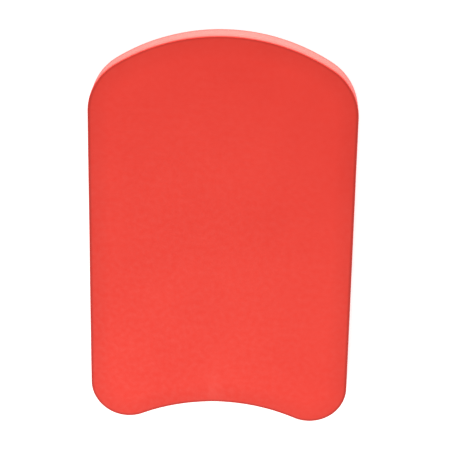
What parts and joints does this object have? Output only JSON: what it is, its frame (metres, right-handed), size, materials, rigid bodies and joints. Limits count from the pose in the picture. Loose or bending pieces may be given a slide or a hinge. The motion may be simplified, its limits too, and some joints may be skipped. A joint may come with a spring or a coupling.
{
  "type": "kickboard",
  "caption": "Flat foam swimming kickboard with a domed nose, straight sides, round tail lobes and a concave tail edge.",
  "frame": {"origin": "under the middle of the board: the centre of its bounding box across and along, at the height of the flat back face that it rests on", "axes": "+X across the width; +Y along the length, from the concave tail to the domed nose; +Z through the thickness, out of the front face"},
  "size_m": [0.29, 0.45, 0.03],
  "materials": {
    "foam_skin": "matte",
    "cut_foam": "matte",
    "adhesive": "satin"
  },
  "bodies": {
    "root": {"face_sheet": "foam_skin", "face_glue_film": "adhesive", "foam_core": "cut_foam", "back_glue_film": "adhesive", "back_sheet": "foam_skin"}
  },
  "joints": []
}
